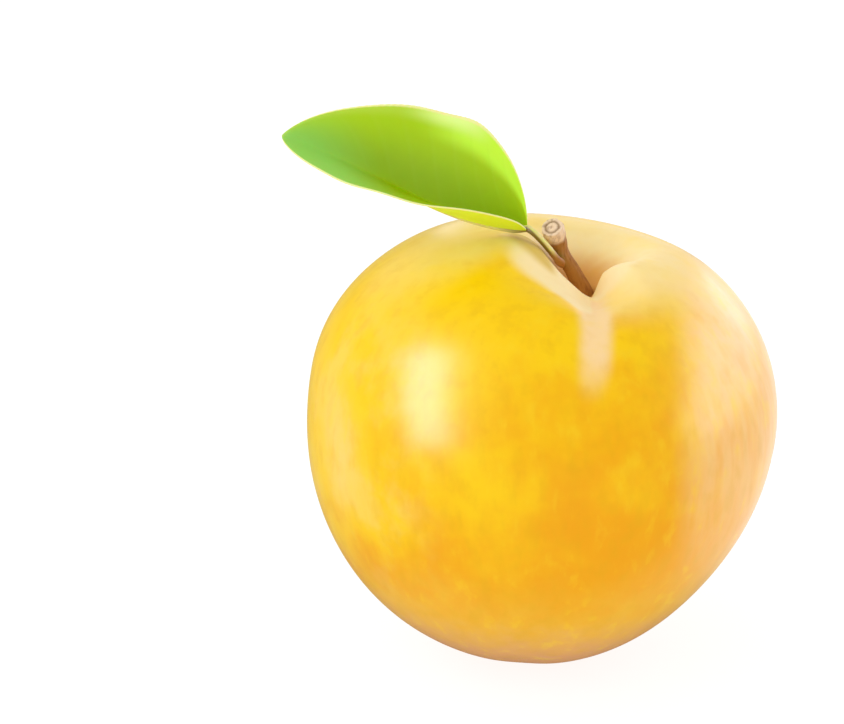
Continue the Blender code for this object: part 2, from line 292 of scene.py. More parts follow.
# lengths in metres; polar angles run down from the top, azimuths round from +X
fruit = {
    "rings": 240, "meridians": 320,
    "crowdRings": 0.55, "crowdMeridians": 0.5,
    "radius": 0.02584, "shoulderHeight": 0.02124, "baseDepth": 0.02856,
    "shoulderPower": 2.07, "basePower": 2.115,
    "lean": math.radians(8.0), "topDrift": 0.00096, "flatDepth": 0.0006,
    "taperDepth": 0.00114, "taperLevel": -0.0194, "taperSpread": 0.0109,
    "underFrom": 2.2, "underRings": 300, "underMeridians": 241,
    "backDrop": 0.00116, "backPolar": math.radians(22), "backSpread": math.radians(14),
    "cavityDepth": 0.0076, "cavityRadius": 0.0047, "cavityShift": 0.0014, "shiftReach": 0.0120,
    "suture": math.radians(-83), "sutureReach": math.radians(75),
    "notchDepth": 0.0042, "notchLeft": 0.0052, "notchRight": 0.00078, "notchSplay": 0.593,
    "notchPower": 3.6, "notchStart": 0.0024,
    "notchPolar": math.radians(15), "notchSpread": math.radians(14),
    "troughDepth": 0.00133, "troughWidth": 0.0022,
    "troughPolar": math.radians(22), "troughSpread": math.radians(14),
    "swells": ((0.0003, 0.0, 0.0057), (0.0019, -0.0066, 0.0076)),  # height, offset, width
    "swellPolar": math.radians(14.8), "swellSpread": math.radians(9.2),
    "traceDepth": 0.00035, "traceWidth": 0.0028,
    # the rest is finer than the solid, and stays inside it
    "inset": 0.00005, "waviness": 0.00004,
    "waves": (3, 4), "crossWaves": (5, 2, 1),
    "foldDepth": 0.00006, "folds": 13, "foldPlace": (0.55, 0.25), "foldTwist": 4000,
    "scarRadius": 0.0006, "scarDepth": 0.00025,
}


def fruitForm(polar, azimuth):
    # a superellipse turned about the axis, less the stem cavity, the suture's notch with the
    # trough and shallow trace below it, plus two swellings of the lip; the crown drops behind
    # the cavity, the base is slimmer on one side, and the whole leans towards +X
    f = fruit
    side, height = np.sin(polar), np.cos(polar)
    upper = height > 0
    power = np.where(upper, f["shoulderPower"], f["basePower"])
    halfHeight = np.where(upper, f["shoulderHeight"], f["baseDepth"])
    radius = f["radius"] * np.abs(side) ** (2 / power)
    level = halfHeight * np.sign(height) * np.abs(height) ** (2 / power)
    x, y = radius * np.cos(azimuth), radius * np.sin(azimuth)
    outward = np.stack([x / f["radius"] ** 2, y / f["radius"] ** 2, level / halfHeight**2], axis=-1)
    outward /= np.linalg.norm(outward, axis=-1, keepdims=True)

    turn = (azimuth - f["suture"] + math.pi) % (2 * math.pi) - math.pi
    off = radius * np.sin(turn)
    front = np.exp(-((turn / f["sutureReach"]) ** 4))
    atLip = bell(polar, f["notchPolar"], f["notchSpread"])
    width = np.where(off > 0, f["notchRight"], f["notchLeft"])
    width = width + f["notchSplay"] * np.clip(radius - f["cavityRadius"], 0, None)
    across = np.abs(off / width)
    notch = f["notchDepth"] * atLip * (1 - np.exp(-((radius / f["notchStart"]) ** 2)))
    notch = notch * np.exp(-(across ** f["notchPower"]))
    trough = f["troughDepth"] * bell(polar, f["troughPolar"], f["troughSpread"])
    trough = trough * bell(off, 0, f["troughWidth"])
    swell = sum(high * bell(off, offset, wide) for high, offset, wide in f["swells"])
    swell = swell * bell(polar, f["swellPolar"], f["swellSpread"])
    trace = f["traceDepth"] * side * bell(off, 0, f["traceWidth"])
    hollow = np.exp(-((radius / f["cavityRadius"]) ** 2)) * upper
    back = f["backDrop"] * bell(polar, f["backPolar"], f["backSpread"])
    back = back * np.clip(np.sin(azimuth), 0, 1)

    points = np.stack([x, y, level - f["cavityDepth"] * hollow - back], axis=-1)
    points -= outward * ((notch + trough + trace - swell) * front)[..., None]

    # fine folds that run down into the cavity, a slow waviness, and the scar under the base
    folds = np.sin(f["folds"] * azimuth + f["foldTwist"] * radius)
    folds = f["foldDepth"] * bell(hollow, *f["foldPlace"]) * folds
    (a, b), (c, d, e) = f["waves"], f["crossWaves"]
    wavy = np.sin(a * azimuth + b * polar) * np.sin(c * polar - d * azimuth + e) * side**2
    scar = f["scarDepth"] * bell(radius, 0, f["scarRadius"]) * (1 - upper)
    lift = folds - f["inset"] + f["waviness"] * (wavy - 1) * side - scar
    points += outward * lift[..., None]

    points[..., 0] += f["topDrift"] * np.clip(level / f["shoulderHeight"], 0, 1) ** 2
    points[..., 0] += f["cavityShift"] * bell(radius, 0, f["shiftReach"]) * upper
    taper = f["taperDepth"] * bell(level, f["taperLevel"], f["taperSpread"])
    points[..., 0] -= taper * np.clip(np.cos(azimuth), 0, 1)
    cosine, sine = math.cos(f["lean"]), math.sin(f["lean"])
    lean = np.array([[cosine, 0, sine], [0, 1, 0], [-sine, 0, cosine]])
    facts = {"polar": polar, "turn": turn, "off": off, "hollow": hollow}
    return points @ lean.T, facts


def bareForm(polar, azimuth):
    # the same form without the skin's own fine relief, as the solid has it
    kept = {name: fruit[name] for name in ("inset", "waviness", "foldDepth", "scarDepth")}
    fruit.update(dict.fromkeys(kept, 0.0))
    points, _ = fruitForm(polar, azimuth)
    fruit.update(kept)
    return points


def fruitSeat():
    # moves the fruit so that its lowest point stands over the origin, a little below the floor
    rings = np.linspace(fruit["underFrom"], math.pi, fruit["underRings"])
    polar, azimuth = np.meshgrid(rings, np.linspace(0, 2 * math.pi, fruit["underMeridians"]))
    under = bareForm(polar, azimuth).reshape(-1, 3)
    lowest = under[under[:, 2].argmin()]
    return np.array([-lowest[0], -lowest[1], -lowest[2] - fruit["flatDepth"]])


seat = fruitSeat()
cavityFloor = bareForm(np.array([0.0]), np.array([0.0]))[0] + seat


def makeFruit():
    # rings lie closer near the top, by a sine of the polar angle, and meridians near the suture
    f = fruit
    rows = np.linspace(0, math.pi, f["rings"] + 1)[1:-1]
    columns = np.linspace(0, 2 * math.pi, f["meridians"], endpoint=False)
    polar, azimuth = np.meshgrid(rows, columns, indexing="ij")
    polar = polar - f["crowdRings"] * np.sin(polar)
    azimuth = azimuth - f["crowdMeridians"] * np.sin(azimuth - f["suture"])
    points, facts = fruitForm(polar, azimuth)
    poles, _ = fruitForm(np.array([0.0, math.pi]), np.array([0.0, 0.0]))
    points, poles = points + seat, poles + seat
    points[..., 2] = np.maximum(points[..., 2], 0)
    poles[:, 2] = np.maximum(poles[:, 2], 0)
    masks = skinMasks(facts, points)
    # rings run from the top down, so the columns are turned round for faces that look outwards
    points = points[:, ::-1]
    masks = {label: values[:, ::-1] for label, values in masks.items()}
    piece = gridPiece("fruitSkin", points, masks, poles[0], poles[1])
    piece.data.materials.append(skinMaterial())
    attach(piece, "root")
    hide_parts("plum_fruit")


# where the colours lie: polar angles and turns in degrees, lengths in millimetres; a pair is
# where a mask is 0 and where it is 1, or a bell's middle and width; crownLeft is added to crown
markings = {
    "lipLevel": 25.5, "lipDip": 6, "lipDipAt": (-1.2, 2.6), "lipBlur": 3,
    "lipLeftEnd": (-11, -6.5), "lipMiddle": (0.5, -0.5),
    "rightLip": (14, 5), "rightLipStart": (0, 1), "rightLipEnd": (5.5, 3),
    "bandWidth": 1.9, "bandSquareness": 2.6, "bandStart": (14, 22), "bandEnd": (67, 43),
    "leftward": (140, 250), "crown": (42, 20), "crownLeft": (22, 6), "crownFade": 0.36,
    "crownGap": (305, 282),
    "bloomAndSheenX": (13, 18), "bloomAndSheenZ": (8, 30), "bloomAndSheenY": (14, -2),
    "glow": 0.7, "glowX": (-21.3, 1.6), "glowZ": (28, 6),
    "creviceDown": (20.5, 17), "creviceRight": (-3.8, -5.2), "creviceLeft": (-11, -8),
    "ripe": (-42, -9), "ripeLeft": 0.58, "ripeRight": 0.2, "ripeDown": 0.81,
    "sideX": (-9, -16), "sideLow": (8, 18), "sideHigh": (47, 38),
    "dull": (16, 15), "dullBand": 0.7, "plainBand": 0.6, "heightUnit": 50,
}


def skinMasks(facts, points):
    # each mask runs 0 to 1 and says where one of the skin's colours belongs
    m = markings
    off, polar, turn = facts["off"] * 1000, np.degrees(facts["polar"]), np.degrees(facts["turn"])
    x, y, z = (points[..., axis] * 1000 for axis in range(3))
    facing = np.abs(turn) < 90
    # painted highlight in cream along the lip's left half, down to a level that falls towards the
    # suture, and on the edge of its right half
    level = m["lipLevel"] + m["lipDip"] * bell(off, *m["lipDipAt"])
    lipHighlight = smooth(level + m["lipBlur"], level - m["lipBlur"], polar)
    lipHighlight = lipHighlight * smooth(*m["lipLeftEnd"], off) * smooth(*m["lipMiddle"], off)
    rightLip = bell(polar, *m["rightLip"]) * smooth(*m["rightLipStart"], off)
    lipHighlight = (lipHighlight + rightLip * smooth(*m["rightLipEnd"], off)) * facing
    # a painted reflection: a pale band down the suture
    band = np.exp(-(np.abs(off / m["bandWidth"]) ** m["bandSquareness"]))
    band = band * smooth(*m["bandStart"], polar) * smooth(*m["bandEnd"], polar) * facing
    # painted sheen with some wax bloom: cream round the crown, deeper down on the left, with one blend
    # between the two at the back
    around = turn % 360
    leftward = smooth(*m["leftward"], around)
    outer, inner = (edge + more * leftward for edge, more in zip(m["crown"], m["crownLeft"]))
    crown = smooth(outer, inner, polar) * (1 - m["crownFade"] * leftward)
    crown = np.clip(crown * smooth(*m["crownGap"], around), 0, 1)
    # painted reflection with some wax bloom on the right side, and a pale glow near the left edge,
    # which is painted reflection too
    bloomAndSheen = smooth(*m["bloomAndSheenX"], x) * smooth(*m["bloomAndSheenZ"], z) * smooth(*m["bloomAndSheenY"], y)
    bloomAndSheen = bloomAndSheen + m["glow"] * bell(x, *m["glowX"]) * bell(z, *m["glowZ"]) * facing
    # painted shade: khaki in a crevice on the lip's left side
    creviceShade = smooth(*m["creviceDown"], polar) * smooth(*m["creviceRight"], off)
    creviceShade = creviceShade * smooth(*m["creviceLeft"], off) * facing
    warmth = x * np.where(x < 0, m["ripeLeft"], m["ripeRight"]) - m["ripeDown"] * z
    leftSide = smooth(*m["sideX"], x) * smooth(*m["sideLow"], z) * smooth(*m["sideHigh"], z)
    return {
        "hollow": facts["hollow"],
        "lipHighlight": lipHighlight,
        "sutureSheen": band,
        "crown": crown,
        "bloomAndSheen": bloomAndSheen,
        "dull": np.maximum(bell(polar, *m["dull"]), m["dullBand"] * band),
        "plain": np.clip(crown + lipHighlight + m["plainBand"] * band, 0, 1),
        "ripe": smooth(*m["ripe"], warmth),
        "creviceShade": creviceShade,
        "leftSide": leftSide * facing,
        "height": z / m["heightUnit"],
    }


skin = {
    "yellow": paint(255, 208, 2),
    "orange": paint(245, 168, 2),
    "pale": paint(254, 217, 122),
    "amber": paint(246, 190, 44),
    "basePink": paint(236, 172, 116),
    "cream": paint(254, 228, 166),
    "highlightCream": paint(255, 230, 174),
    "khaki": paint(222, 188, 84),
    "peach": paint(254, 216, 158),
    "tan": paint(236, 176, 92),
    "brown": paint(170, 112, 34),
    "golden": paint(228, 172, 0),
    "honey": paint(255, 214, 34),
}


# a noise has its scale; a range has low and high, and then the start and end if they aren't 0, 1
skinFinish = {
    "specular": 0.22, "scatter": 0.15, "scatterDepth": 0.0015, "scatterColour": (1.0, 0.6, 0.15),
    "blotches": 110, "fine": 420, "mottle": 560, "streaks": 620, "patches": 135,
    "mottleStretch": (1, 1, 0.5), "streakStretch": (1, 1, 0.14),
    "ripeBlotches": (0.3, 0.7, -0.22, 0.22), "ripeFine": (0.3, 0.7, -0.08, 0.08),
    "underRange": (0.50, 0.20), "underFine": 0.16, "lowestRange": (0.30, 0.10), "lowestFine": 0.10,
    "patchDetail": 4.0, "patchRoughness": 0.6, "patchRange": (0.40, 0.66, 0.0, 0.38),
    "crownRange": (0.3, 0.6, 0.55, 0.85), "ragged": (0.3, 0.7, 0.75, 1.25),
    "bandRange": (0.08, 0.92, 0.0, 0.94),
    "sheenHollow": (0.02, 0.30), "shadeHollow": (0.35, 0.80), "deepShadeHollow": (0.85, 1.0),
    "bloomAndSheenRange": (0.3, 0.7, 0.32, 0.58), "vividRange": (0.0, 0.8, 1.0, 0.25),
    "darker": (0.48, 0.72, 0.0, 0.24), "lighter": (0.46, 0.26, 0.0, 0.36),
    "streaky": (0.5, 0.75, 0.0, 0.14),
    "roughness": (0.15, 0.75, 0.28, 0.7), "bump": 0.12, "bumpDepth": 0.0002,
}


def skinMaterial():
    # yellow that turns orange towards the base, pale on the crown, beside the suture and on one side,
    # with soft blotches and small down-running mottling; the pale on the crown is painted sheen with
    # some wax bloom, and beside the suture and on the right side it is painted reflection; a painted
    # highlight runs along the lip, and painted shade lies in the cavity and in a crevice by the lip
    f = skinFinish
    material, tree, shader = newMaterial(
        "plumSkin", Specular_IOR_Level=f["specular"], Subsurface_Weight=f["scatter"],
        Subsurface_Scale=f["scatterDepth"])
    shader.inputs["Subsurface Radius"].default_value = f["scatterColour"]
    place = placeOf(tree)
    blotches = noise(tree, place, f["blotches"])
    fine = noise(tree, place, f["fine"])
    mottle = noise(tree, placeOf(tree, scale=f["mottleStretch"]), f["mottle"])
    streaks = noise(tree, placeOf(tree, scale=f["streakStretch"]), f["streaks"])
    height = mask(tree, "height")
    ripe = plus(tree, mask(tree, "ripe"), remap(tree, blotches, *f["ripeBlotches"]))
    ripe = plus(tree, ripe, remap(tree, fine, *f["ripeFine"]))
    colour = blendColour(tree, remap(tree, ripe, 0.0, 1.0), skin["yellow"], skin["orange"])
    under = plus(tree, height, times(tree, fine, f["underFine"]))
    colour = blendColour(tree, remap(tree, under, *f["underRange"]), colour, skin["amber"])
    # pinker at the very base
    lowest = plus(tree, height, times(tree, fine, f["lowestFine"]))
    colour = blendColour(tree, remap(tree, lowest, *f["lowestRange"]), colour, skin["basePink"])
    patches = noise(tree, place, f["patches"], f["patchDetail"], f["patchRoughness"])
    patches = times(tree, mask(tree, "leftSide"), remap(tree, patches, *f["patchRange"]))
    colour = blendColour(tree, patches, colour, skin["pale"])
    # painted sheen, with some wax bloom, in cream on the crown
    crown = times(tree, mask(tree, "crown"), remap(tree, blotches, *f["crownRange"]))
    colour = blendColour(tree, crown, colour, skin["cream"])
    ragged = remap(tree, blotches, *f["ragged"])  # breaks up the edges of the pale bands
    # painted reflection in peach down the suture
    band = remap(tree, times(tree, mask(tree, "sutureSheen"), ragged), *f["bandRange"])
    colour = blendColour(tree, band, colour, skin["peach"])
    hollow = mask(tree, "hollow")
    # in the cavity: painted sheen in cream at its mouth, then painted shade in tan and in brown deeper down
    colour = blendColour(tree, remap(tree, hollow, *f["sheenHollow"]), colour, skin["cream"])
    colour = blendColour(tree, remap(tree, hollow, *f["shadeHollow"]), colour, skin["tan"])
    colour = blendColour(tree, remap(tree, hollow, *f["deepShadeHollow"]), colour, skin["brown"])
    # painted highlight along the lip, in pale cream
    lip = remap(tree, times(tree, mask(tree, "lipHighlight"), ragged), *f["bandRange"])
    colour = blendColour(tree, lip, colour, skin["highlightCream"])
    # painted shade in khaki in the crevice
    colour = blendColour(tree, mask(tree, "creviceShade"), colour, skin["khaki"])
    # painted reflection, with some wax bloom, in peach on the right side and near the left edge
    bloomAndSheen = times(tree, mask(tree, "bloomAndSheen"), remap(tree, streaks, *f["bloomAndSheenRange"]))
    colour = blendColour(tree, bloomAndSheen, colour, skin["peach"])
    vivid = remap(tree, mask(tree, "plain"), *f["vividRange"])
    darker = times(tree, vivid, remap(tree, mottle, *f["darker"]))
    colour = blendColour(tree, darker, colour, skin["golden"])
    lighter = times(tree, vivid, remap(tree, mottle, *f["lighter"]))
    colour = blendColour(tree, lighter, colour, skin["honey"])
    streaky = times(tree, vivid, remap(tree, streaks, *f["streaky"]))
    colour = blendColour(tree, streaky, colour, skin["golden"])
    tree.links.new(colour, shader.inputs["Base Color"])
    tree.links.new(remap(tree, mask(tree, "dull"), *f["roughness"]), shader.inputs["Roughness"])
    bump = addNode(tree, "Bump", {"Height": fine, "Strength": f["bump"], "Distance": f["bumpDepth"]})
    tree.links.new(bump.outputs["Normal"], shader.inputs["Normal"])
    return material


# the line and its radii start at the cavity's floor
stem = {
    "rows": 150, "columns": 96, "faceRows": 26,
    "sink": 0.0018,
    "line": ((0, 0, 0), (-0.0004, 0, 0.0012), (-0.0013, 0, 0.0030), (-0.0024, -0.0001, 0.0048),
             (-0.0028, -0.0004, 0.0061), (-0.0031, -0.0007, 0.0070), (-0.0033, -0.0011, 0.0077),
             (-0.0035, -0.0015, 0.0083)),
    "radii": (0.00125, 0.00105, 0.00092, 0.00094, 0.00108, 0.00125, 0.00136, 0.00126),
    "inset": 0.00004,
    "ridges": 11, "ridgeDepth": 0.05,
    "ridgeTwist": 9, "ridgeRings": 23, "ringSlant": 3,
    "lumps": ((0.4, 5, -31), (0.3, 2, 47)),  # height, times round, times along
    "footTaper": 0.85,
    "cushionHeight": 0.0004, "cushionLength": 0.07, "cushionSpread": 0.5, "cushionBack": 0.03,
    "scarAt": (0.62, 0.12), "scarDepth": 0.00012, "dimpleDepth": 0.00008, "dimpleSpread": 0.25,
    "domeHeight": 0.00010, "domeLobes": 3, "lobeHeight": 0.4, "middleHeight": 0.00002,
}


def curveThrough(knots, shares):
    # a smooth curve through the knots, at shares 0 to 1 of the way; each span is a cubic set by
    # the four knots about it
    knots = np.asarray(knots, float)
    padded = np.concatenate([2 * knots[:1] - knots[1:2], knots, 2 * knots[-1:] - knots[-2:-1]])
    spot = np.clip(np.asarray(shares), 0, 1) * (len(knots) - 1)
    index = np.minimum(spot.astype(int), len(knots) - 2)
    t = (spot - index)[:, None]
    a, b, c, d = (padded[index + step] for step in range(4))
    return 0.5 * (2 * b + (c - a) * t + (2 * a - 5 * b + 4 * c - d) * t**2
                  + (3 * b - a - 3 * c + d) * t**3)


def pathFrame(line, level=(0.0, 1.0, 0.0)):
    # unit directions along a line of points, to its side and outwards, for every point
    along = np.gradient(line, axis=0)
    along /= np.linalg.norm(along, axis=1, keepdims=True)
    side = np.cross(along, level)
    side /= np.linalg.norm(side, axis=1, keepdims=True)
    return along, side, np.cross(side, along)


def makeStem():
    # a tube round a curve, its radius times 1 less a share of the bark's sines
    s = stem
    knots = np.asarray(s["line"], float)
    first = (knots[1] - knots[0]) / np.linalg.norm(knots[1] - knots[0])
    knots = np.concatenate([[knots[0] - first * s["sink"]], knots]) + cavityFloor
    radii = np.array([s["radii"][0] * s["footTaper"], *s["radii"]]) - s["inset"]
    shares = np.linspace(0, 1, s["rows"])
    line = curveThrough(knots, shares)
    radius = curveThrough(np.repeat(radii[:, None], 3, axis=1), shares)[:, 0]
    along, side, out = pathFrame(line)
    angle = np.linspace(0, 2 * math.pi, s["columns"], endpoint=False)[None, :]
    share = shares[:, None]
    ridges = np.sin(s["ridges"] * angle + s["ridgeTwist"] * share)
    ridges = ridges * np.sin(s["ridgeRings"] * share + s["ringSlant"] * angle)
    knobbly = sum(high * np.sin(across * angle + down * share) for high, across, down in s["lumps"])
    relief = 1 - s["ridgeDepth"] * (1 + 0.5 * ridges + 0.5 * knobbly)
    # a low cushion stands where the leaf's stalk leaves
    toward = np.array(stalk["foot"]) - line
    near = np.linalg.norm(toward, axis=1).argmin()
    facing = math.atan2(toward[near] @ out[near], toward[near] @ side[near])
    away = (angle - facing + math.pi) % (2 * math.pi) - math.pi
    cushion = bell(share, shares[near] - s["cushionBack"], s["cushionLength"])
    cushion = cushion * bell(away, 0, s["cushionSpread"])
    reach = radius[:, None] * relief + s["cushionHeight"] * cushion
    ring = side[:, None] * np.cos(angle)[..., None] + out[:, None] * np.sin(angle)[..., None]
    tube = line[:, None] + ring * reach[..., None]

    # the cut end: rings that shrink to the middle over a low dome with a round scar in it
    inward = np.linspace(0, 1, s["faceRows"] + 1)[1:-1]
    spread = np.cos(inward * math.pi / 2)[:, None]
    scar = bell(spread, *s["scarAt"])
    lobes = 1 + s["lobeHeight"] * np.sin(s["domeLobes"] * angle + 1)
    dome = s["domeHeight"] * np.sin(inward * math.pi / 2)[:, None] * lobes
    dome = dome - s["scarDepth"] * scar - s["dimpleDepth"] * bell(spread, 0, s["dimpleSpread"])
    face = line[-1] + ring[-1] * (reach[-1] * spread)[..., None] + along[-1] * dome[..., None]
    middle = line[-1] + along[-1] * s["middleHeight"]
    points = np.concatenate([tube, face])
    tubeZeros, faceZeros = np.zeros_like(tube[..., 0]), np.zeros_like(face[..., 0])
    masks = {
        "share": np.concatenate([np.repeat(share, s["columns"], 1), faceZeros + 1]),
        "scar": np.concatenate([tubeZeros, np.repeat(scar, s["columns"], 1)]),
        "cushion": np.concatenate([cushion, faceZeros]),
    }
    points = points[:, ::-1]
    masks = {label: values[:, ::-1] for label, values in masks.items()}
    piece = gridPiece("stemBark", points, masks, line[0], middle)
    piece.data.materials.append(barkMaterial())
    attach(piece, "root")
    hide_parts("plum_stem")


bark = {
    "foot": paint(120, 72, 20),
    "shaft": paint(172, 116, 44),
    "knob": paint(242, 212, 176),
    "scar": paint(168, 138, 100),
    "olive": paint(120, 104, 20),
    "grain": 2600, "grainStretch": (1, 1, 0.3), "lumps": 900, "lumpShare": 0.08,
    "knobRange": (0.70, 0.82), "darkRange": (0.45, 0.70, 0.0, 0.40), "bump": 0.5, "bumpDepth": 0.0001,
}


def barkMaterial():
    # brown, pale on the knob, with a dark grain along it
    material, tree, shader = newMaterial("stemBarkBrown", Roughness=0.75, Specular_IOR_Level=0.3)
    grain = noise(tree, placeOf(tree, scale=bark["grainStretch"]), bark["grain"], 4.0)
    lumps = noise(tree, placeOf(tree), bark["lumps"], 2.0)
    upper = plus(tree, mask(tree, "share"), times(tree, lumps, bark["lumpShare"]))
    upper = remap(tree, upper, *bark["knobRange"])
    colour = blendColour(tree, upper, bark["shaft"], bark["knob"])
    colour = blendColour(tree, mask(tree, "scar"), colour, bark["scar"])
    dark = remap(tree, grain, *bark["darkRange"])
    colour = blendColour(tree, dark, colour, bark["foot"])
    colour = blendColour(tree, mask(tree, "cushion"), colour, bark["olive"])
    tree.links.new(colour, shader.inputs["Base Color"])
    bump = addNode(tree, "Bump", {"Height": grain, "Strength": bark["bump"], "Distance": bark["bumpDepth"]})
    tree.links.new(bump.outputs["Normal"], shader.inputs["Normal"])
    return material


# the midrib is a cubic curve with two handles, from the base to the tip; the veins run forward
# from it
leaf = {
    "along": 260, "around": 220,
    "base": (-0.0014, -0.0026, 0.0496),
    "handles": ((-0.0114, -0.0011, 0.04975), (-0.01703, 0.0047, 0.0538)),
    "tip": (-0.02793, 0.0075, 0.0567),
    "halfWidth": 0.0105, "basePower": 0.43, "tipPower": 0.71,
    "foldAtBase": math.radians(60), "foldAtTip": math.radians(42.5),
    "twistAtBase": math.radians(19), "twistAtTip": math.radians(42),
    "keelRounding": 0.0006, "marginDroop": 0.0012, "waveHeight": 0.0002, "waves": 3.0,
    "thickness": 0.00042,
    "teeth": 46, "toothDepth": 0.004,
    "veins": 9, "veinSlant": 0.30, "veinDepth": 0.000012, "veinBend": 0.3, "veinWidth": 0.09,
    "veinStart": (0.02, 0.12), "veinEnd": (0.97, 0.80), "midribWidth": 0.03,
    "twistPower": 3, "foldPower": 0.8, "wavePhase": 1.5,
    "toothBand": (0.85, 1.0), "trim": 0.006, "edgePower": 0.5, "tipThinning": 0.02,
    "tipShare": 0.9995, "slopeStep": 1e-4, "upperRange": (-0.05, 0.05),
}


def midrib(share):
    # the cubic curve from the blade's base to its tip, with its unit direction
    a, b, c, d = (np.array(point) for point in (leaf["base"], *leaf["handles"], leaf["tip"]))
    t = np.asarray(share, float)[..., None]
    place = (1 - t) ** 3 * a + 3 * (1 - t) ** 2 * t * b + 3 * (1 - t) * t**2 * c + t**3 * d
    along = (1 - t) ** 2 * (b - a) + 2 * (1 - t) * t * (c - b) + t**2 * (d - c)
    return place, along / np.linalg.norm(along, axis=-1, keepdims=True)


def leafFrame(share):
    # places on the midrib, and unit directions across the blade and away from its upper side;
    # the blade twists by a power of the share
    place, along = midrib(share)
    across = np.cross(along, (0.0, 0.0, 1.0))
    across /= np.linalg.norm(across, axis=-1, keepdims=True)
    up = np.cross(across, along)
    twist = leaf["twistAtBase"] + (leaf["twistAtTip"] - leaf["twistAtBase"]) * share**leaf["twistPower"]
    twist = twist[..., None]
    turned = across * np.cos(twist) + up * np.sin(twist)
    return place, turned, np.cross(turned, along)


def leafSurface(share, offset):
    # a rounded V carried along the midrib; its arms droop and wave towards the margins
    rise, fall = leaf["basePower"], leaf["tipPower"]
    widest = rise / (rise + fall)
    peak = widest**rise * (1 - widest) ** fall
    half = leaf["halfWidth"] * share**rise * (1 - share) ** fall / peak
    place, across, up = leafFrame(share)
    fold = leaf["foldAtBase"] + (leaf["foldAtTip"] - leaf["foldAtBase"]) * share**leaf["foldPower"]
    reach = half * offset
    level = reach * np.cos(fold)
    keel = leaf["keelRounding"]
    high = np.tan(fold) * (np.sqrt(level**2 + keel**2) - keel)
    outer = (reach / leaf["halfWidth"]) ** 2
    droop = leaf["marginDroop"] * outer
    level = level + np.sign(offset) * droop * np.sin(fold)
    high = high - droop * np.cos(fold)
    wave = np.sin(2 * math.pi * leaf["waves"] * share + leaf["wavePhase"] * np.sign(offset))
    high = high + leaf["waveHeight"] * offset**2 * wave * outer
    return place + across * level[..., None] + up * high[..., None]


def makeBlade():
    # a closed shell: the section runs over the upper side from margin to margin and back below
    p = leaf
    rows = 0.5 - 0.5 * np.cos(math.pi * np.linspace(0, 1, p["along"] + 2)[1:-1])
    section = np.linspace(0, 2 * math.pi, p["around"], endpoint=False)
    share, turn = np.meshgrid(rows, section, indexing="ij")
    offset = np.cos(turn)
    step = p["slopeStep"]
    inner = np.clip(offset, -1 + step, 1 - step)
    ahead, behind = np.clip(share + step, 0, 1), np.clip(share - step, 0, 1)
    lengthwise = leafSurface(ahead, inner) - leafSurface(behind, inner)
    crosswise = leafSurface(share, inner + step) - leafSurface(share, inner - step)
    normal = np.cross(crosswise, lengthwise)
    normal /= np.linalg.norm(normal, axis=-1, keepdims=True) + 1e-12
    tooth = p["toothDepth"] * (0.5 + 0.5 * np.sin(2 * math.pi * p["teeth"] * share))
    outward = np.abs(offset)
    trimmed = offset * (1 - tooth * smooth(*p["toothBand"], outward) - p["trim"])
    phase = (share - p["veinSlant"] * outward * (1 - p["veinBend"] * share)) * p["veins"]
    nearest = np.abs(phase - np.round(phase))
    vein = bell(nearest, 0, p["veinWidth"])
    vein = vein * smooth(*p["veinStart"], outward) * smooth(*p["veinEnd"], outward)
    vein = vein + bell(outward, 0, p["midribWidth"])
    upper = np.sin(turn)
    thick = p["thickness"] / 2 * np.sign(upper) * np.abs(upper) ** p["edgePower"]
    thick = thick * np.minimum(1, (1 - share) / p["tipThinning"]) ** p["edgePower"]
    lift = thick - p["veinDepth"] * vein
    points = leafSurface(share, trimmed) + normal * lift[..., None]
    masks = {"share": share, "offset": offset, "upper": smooth(*p["upperRange"], upper),
             "vein": vein}
    start, end = (midrib(np.array([place]))[0][0] for place in (0.0, p["tipShare"]))
    points = points[:, ::-1]
    masks = {label: values[:, ::-1] for label, values in masks.items()}
    piece = gridPiece("leafBlade", points, masks, start, end)
    piece.data.materials.append(leafMaterial())
    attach(piece, "root")
    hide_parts("plum_leaf")


green = {
    "deep": paint(152, 186, 0),
    "light": paint(174, 210, 4),
    # the next three are a painted sheen towards the tip and painted highlights along the far margin
    "tipSheen": paint(150, 216, 100),
    "far": paint(200, 250, 62),
    "farthestHighlight": paint(222, 252, 140),
    "under": paint(222, 255, 46),
    "underDeep": paint(176, 208, 28),
    "underVein": paint(238, 250, 150),
    "rim": paint(238, 240, 160),
    "vein": paint(180, 214, 70),
    "stalk": paint(228, 214, 128),
    "olive": paint(132, 108, 24),
    "mottle": 260, "mottleShare": 0.2, "lightRange": (0.25, 0.95),
    "coolLean": -0.25, "coolRange": (0.55, 0.95, 0.0, 0.8),
    "farAcross": (0.62, 0.80), "farAlong": (0.62, 0.30),
    "farthestAcross": (0.78, 0.95), "farthestStart": (0.20, 0.40), "farthestEnd": (0.68, 0.48, 0.15, 1.0),
    "veinShown": 0.06, "deeperMottle": (0.35, 0.65, 0.0, 0.6), "deeperAlong": (0.2, 0.6),
    "veinBelow": (0.15, 0.4, 0.0, 0.4), "rimRange": (0.955, 0.985),
    "fibres": 2200, "fibreRange": (0.4, 0.7, 0.0, 0.3), "bump": 0.15, "bumpDepth": 0.0001,
}


